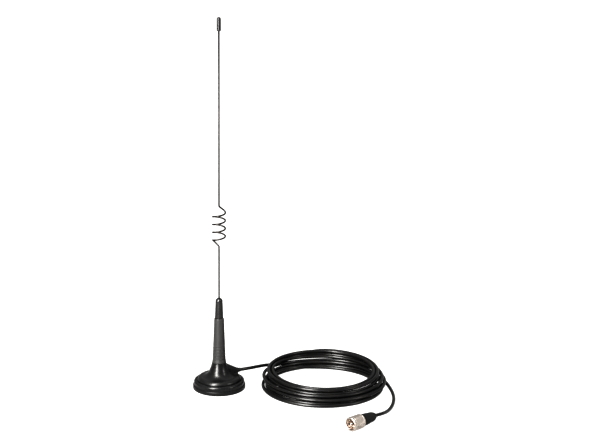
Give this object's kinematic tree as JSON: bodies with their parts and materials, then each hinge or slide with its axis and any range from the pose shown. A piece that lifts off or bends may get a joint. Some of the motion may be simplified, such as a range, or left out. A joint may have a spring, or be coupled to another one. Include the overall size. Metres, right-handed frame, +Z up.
{
  "type": "magnet mount whip antenna",
  "caption": "Magnet-mount whip antenna: domed magnetic base, tapered loaded mast, steel whip with an open coil, and a thin coaxial lead coiled to a threaded plug.",
  "frame": {"origin": "centre of the base's resting face", "axes": "+Z up along the whip, +X towards the coiled lead, -Y towards the viewer"},
  "size_m": [0.2898, 0.2717, 0.5325],
  "materials": {
    "film": "satin scratch-proof film",
    "skirt_rubber": "semi-gloss moulded rubber",
    "cup_paint": "gloss black enamel on pressed steel",
    "ferrite": "fired ceramic",
    "steel": "zinc plated",
    "tinned": "tinned brass",
    "acetal": "natural acetal",
    "brass": "turned",
    "copper": "enamelled copper wire",
    "bell_plastic": "polished black moulding",
    "soft_rubber": "matte moulded rubber",
    "jacket": "glossy vinyl jacket",
    "dielectric": "polyethylene insulation",
    "sleeve_rubber": "satin soft-touch coating",
    "ferrule_black": "polished black plating",
    "whip_steel": "black-oxide spring steel",
    "cap_black": "moulded cap",
    "nickel": "bright nickel plate",
    "phenolic": "brown phenolic",
    "silver": "silver plated"
  },
  "bodies": {
    "base": {"base_pad": "film", "rubber_skirt": "skirt_rubber", "magnet_cup": "cup_paint", "ring_magnet": "ferrite", "pole_disc": "steel", "centre_bolt": "steel", "ground_lug": "tinned", "insulator_bush": "acetal", "bottom_terminal": "brass", "base_cover": "bell_plastic", "cover_screws": "steel", "cable_grommet": "soft_rubber", "lead_inner": "jacket", "core_wire": "dielectric", "braid_pigtail": "tinned", "coil_sleeve": "sleeve_rubber", "coil_former": "acetal", "loading_coil": "copper", "top_terminal": "brass", "lead_out": "jacket", "lead_coil": "jacket", "lead_tail": "jacket", "plug_boot": "soft_rubber", "plug_body": "nickel", "crimp_ferrule": "nickel", "plug_insulator": "phenolic", "plug_pin": "silver"},
    "seal": {"ferrule_seal": "soft_rubber"},
    "ferrule": {"whip_ferrule": "ferrule_black"},
    "grip_screw": {"set_screw": "steel"},
    "whip": {"whip_rod": "whip_steel", "tip_cap": "cap_black"},
    "coupling_ring": {"plug_ring": "nickel"}
  },
  "joints": [
    {"name": "whip_lift", "type": "slide", "parent": "base", "child": "seal", "axis": [0, 0, 1], "range_m": [0, 0.008]},
    {"name": "whip_turn", "type": "hinge", "parent": "seal", "child": "ferrule", "pos_m": [0, 0, 0.11], "axis": [0, 0, 1], "range_deg": [0, 3600]},
    {"name": "whip_trim", "type": "slide", "parent": "ferrule", "child": "whip", "axis": [0, 0, 1], "range_m": [-0.003, 0.01]},
    {"name": "grip_turn", "type": "hinge", "parent": "ferrule", "child": "grip_screw", "pos_m": [0, 0.004, 0.122], "axis": [0, 1, 0], "range_deg": [0, 720]},
    {"name": "ring_turn", "type": "hinge", "parent": "base", "child": "coupling_ring", "pos_m": [0.18008, -0.16324, 0.0098], "axis": [-0.788, -0.6157, 0], "continuous": true}
  ],
  "couplings": [
    {"joint": "whip_lift", "follows": "whip_turn", "m_per_rad": 0.00012732}
  ]
}
